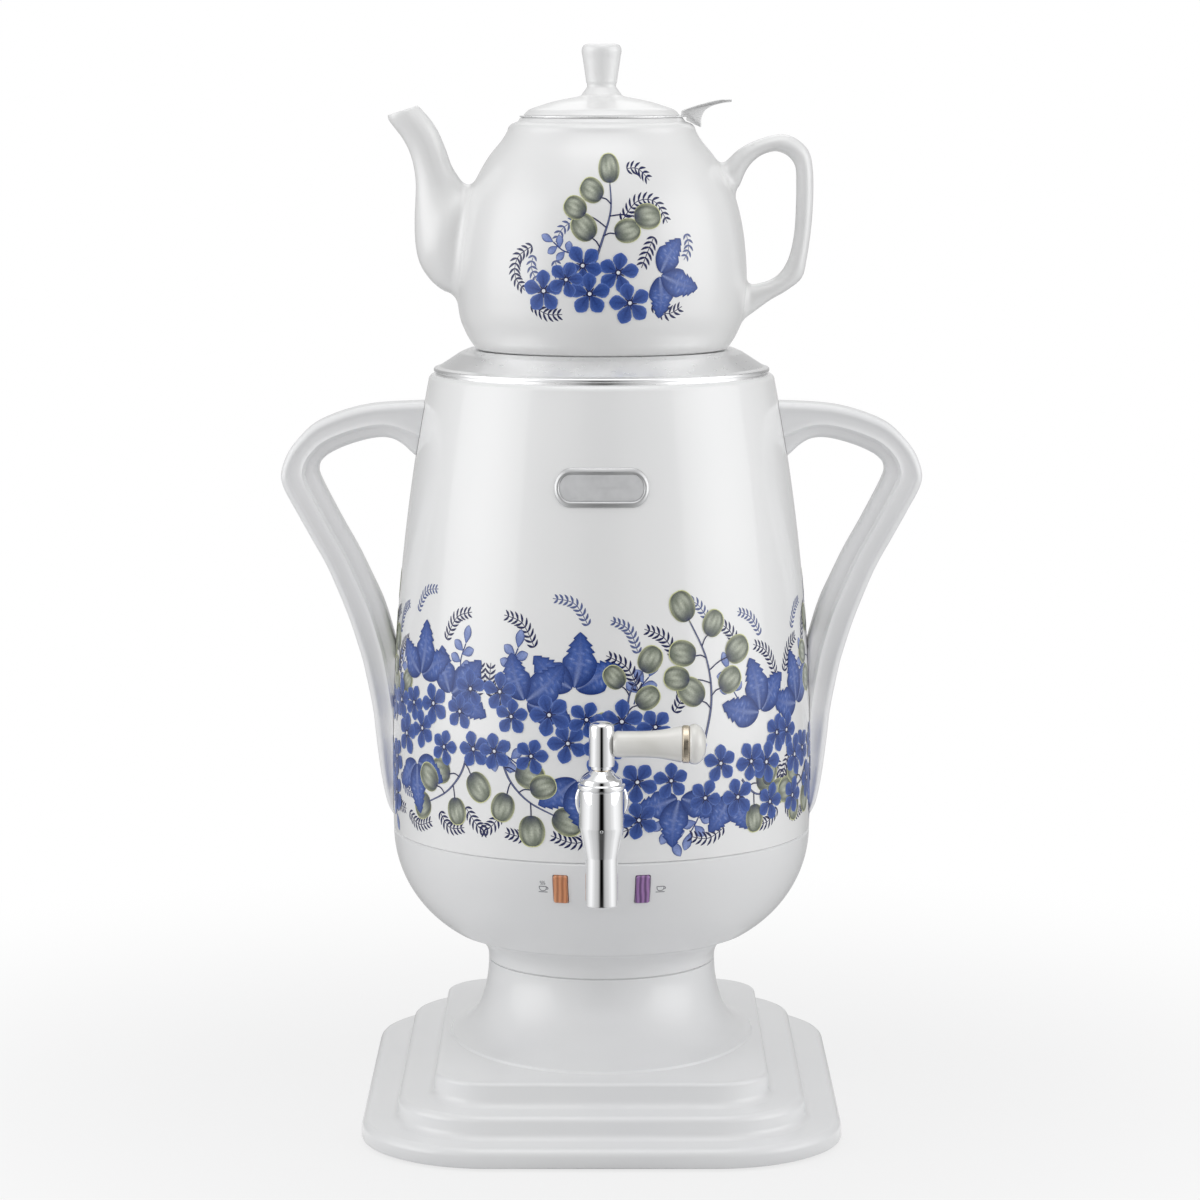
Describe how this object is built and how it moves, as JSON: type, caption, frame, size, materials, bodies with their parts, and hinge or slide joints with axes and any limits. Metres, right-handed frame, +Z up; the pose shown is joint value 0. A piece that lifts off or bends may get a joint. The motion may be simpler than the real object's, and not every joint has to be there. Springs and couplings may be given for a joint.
{
  "type": "samovar",
  "caption": "Electric samovar: stepped base, bowl with two lamps, double-walled boiler with lever tap and side handles, steel cover, and porcelain teapot with strainer and lid",
  "frame": {"origin": "centre of the footprint on the table, under the axis of the body", "axes": "+Z up along the body's axis, -Y to the front, where the tap is, +X to the side that the tap's lever points to when shut"},
  "size_m": [0.2852, 0.27, 0.4731],
  "materials": {
    "rubber": "soft moulded rubber",
    "grey_plastic": "matt moulded",
    "steel": "plain zinc-plated",
    "white_plastic": "glossy white moulding",
    "orange_lens": "clear tinted, over a neon lamp",
    "violet_lens": "clear tinted, over a neon lamp",
    "lamp_glass": "clear",
    "black_plastic": "fine texture",
    "aluminium": "pressed",
    "brown_plastic": "phenolic",
    "brass": "turned",
    "wire_brown": "silicone sheath",
    "wire_blue": "silicone sheath",
    "steel_sheet": "polished stainless sheet",
    "white_enamel": "white gloss enamel with a printed band of blue flowers",
    "satin_steel": "satin, bare",
    "handle_plastic": "pale grey moulding, semi-gloss",
    "chrome": "polished",
    "ivory_plastic": "ivory white",
    "bronze_ring": "polished bronze tone",
    "silicone": "moulded silicone",
    "porcelain": "glazed white porcelain with a printed spray of blue flowers"
  },
  "bodies": {
    "samovar": {"feet": "rubber", "base_cover": "grey_plastic", "cover_screws": "steel", "pedestal": "white_plastic", "tie_rod": "steel", "tie_washer": "steel", "tie_nut": "steel", "bowl": "white_plastic", "lens_boil": "orange_lens", "lens_warm": "violet_lens", "lamp_boil": "lamp_glass", "lamp_warm": "lamp_glass", "power_inlet": "black_plastic", "inlet_pins": "steel", "power_switch": "black_plastic", "heater_plate": "aluminium", "heater_element": "steel", "boil_thermostat": "brown_plastic", "warm_thermostat": "brown_plastic", "thermal_fuse": "brass", "live_wire": "wire_brown", "neutral_wire": "wire_blue", "switched_wire": "wire_brown", "water_tank": "steel_sheet", "body_shell": "white_enamel", "badge_plate": "satin_steel", "handle_left": "handle_plastic", "handle_right": "handle_plastic", "handle_screws": "steel", "tap_body": "chrome", "tap_bonnet": "chrome", "tap_pin": "steel", "tap_escutcheon": "chrome", "tap_spacer": "grey_plastic", "tap_gaskets": "silicone", "tap_nut": "steel"},
    "cover": {"top_cover": "steel_sheet"},
    "pot": {"teapot": "porcelain", "teapot_spout": "porcelain", "teapot_handle": "porcelain"},
    "tea_strainer": {"strainer": "steel_sheet"},
    "lid": {"teapot_lid": "porcelain"},
    "tap_handle": {"tap_plug": "brass", "tap_cap": "chrome", "lever_rod": "steel", "lever_grip": "ivory_plastic", "lever_ring": "bronze_ring", "lever_bead": "ivory_plastic"},
    "rocker": {"switch_rocker": "black_plastic"}
  },
  "joints": [
    {"name": "cover_lift", "type": "slide", "parent": "samovar", "child": "cover", "axis": [0, 0, 1], "range_m": [0, 0.06]},
    {"name": "pot_lift", "type": "slide", "parent": "cover", "child": "pot", "axis": [0, 0, 1], "range_m": [0, 0.12]},
    {"name": "strainer_lift", "type": "slide", "parent": "pot", "child": "tea_strainer", "axis": [0, 0, 1], "range_m": [0, 0.08]},
    {"name": "lid_lift", "type": "slide", "parent": "tea_strainer", "child": "lid", "axis": [0, 0, 1], "range_m": [0, 0.05]},
    {"name": "tap_turn", "type": "hinge", "parent": "samovar", "child": "tap_handle", "pos_m": [0, -0.118, 0.18], "axis": [0, 0, 1], "range_deg": [-90, 0]},
    {"name": "switch_tilt", "type": "hinge", "parent": "samovar", "child": "rocker", "pos_m": [-0.027, 0.09203, 0.107], "axis": [1, 0, 0], "range_deg": [0, 18]}
  ]
}
